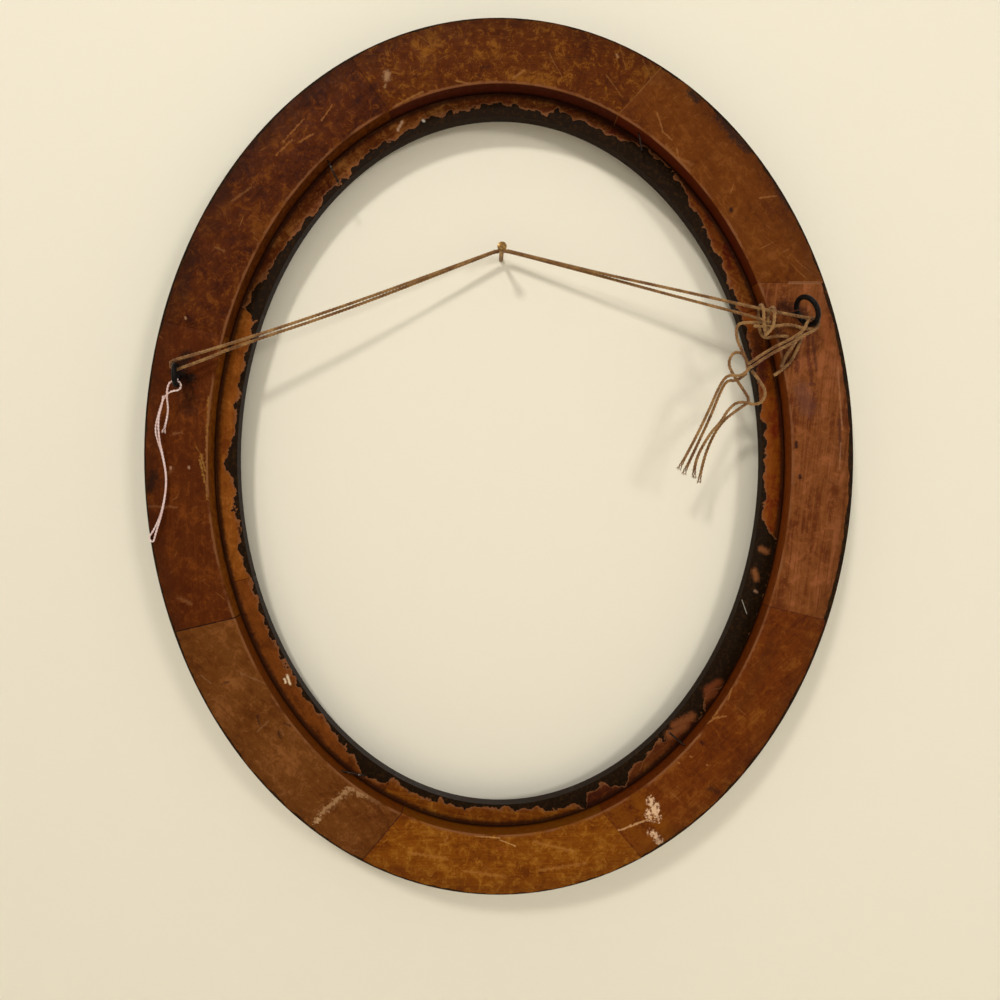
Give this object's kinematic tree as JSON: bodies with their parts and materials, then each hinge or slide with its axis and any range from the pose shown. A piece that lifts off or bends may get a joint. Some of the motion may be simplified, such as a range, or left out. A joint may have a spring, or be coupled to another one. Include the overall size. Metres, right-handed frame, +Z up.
{
  "type": "oval picture frame",
  "caption": "Empty oval wooden picture frame seen from behind, glued from segments, hung on one nail by doubled twine",
  "frame": {"origin": "on the nail's axis where the nail enters the wall", "axes": "X right as seen from behind the frame, Y into the wall, Z up"},
  "size_m": [0.4326, 0.0768, 0.5342],
  "materials": {
    "back_wood_right": "old oiled wood, rubbed",
    "back_wood_upper_right": "old oiled wood, rubbed",
    "back_wood_top": "old oiled wood, rubbed",
    "back_wood_upper_left": "old oiled wood, rubbed",
    "back_wood_left": "old oiled wood, rubbed",
    "back_wood_lower_left": "old oiled wood, rubbed",
    "back_wood_bottom": "old oiled wood, rubbed",
    "back_wood_lower_right": "old oiled wood, rubbed",
    "front_wood": "old wood behind, black paint in front",
    "eye_iron": "blackened iron, dull",
    "brad_steel": "dull steel wire",
    "nail_steel": "plain steel nail",
    "twine": "natural jute twine",
    "thread": "white cotton thread"
  },
  "bodies": {
    "nail": {"wall_nail": "nail_steel"},
    "frame": {"back_segment_right": "back_wood_right", "back_segment_upper_right": "back_wood_upper_right", "back_segment_top": "back_wood_top", "back_segment_upper_left": "back_wood_upper_left", "back_segment_left": "back_wood_left", "back_segment_lower_left": "back_wood_lower_left", "back_segment_bottom": "back_wood_bottom", "back_segment_lower_right": "back_wood_lower_right", "front_segment_right": "front_wood", "front_segment_upper_right": "front_wood", "front_segment_top": "front_wood", "front_segment_upper_left": "front_wood", "front_segment_left": "front_wood", "front_segment_lower_left": "front_wood", "front_segment_bottom": "front_wood", "front_segment_lower_right": "front_wood", "left_screw_eye": "eye_iron", "right_screw_eye": "eye_iron", "retaining_brads": "brad_steel", "hanging_twine": "twine", "twine_wrap": "twine", "sling_twine": "twine", "twine_bight": "twine", "wood_loop": "twine", "twine_tail_1": "twine", "twine_tail_2": "twine", "twine_tail_3": "twine", "twine_tail_4": "twine", "white_thread": "thread", "short_thread": "thread"}
  },
  "joints": [
    {"name": "frame_swing", "type": "hinge", "parent": "nail", "child": "frame", "pos_m": [0, 0, 0], "axis": [0, 1, 0], "range_deg": [-12, 12]}
  ]
}
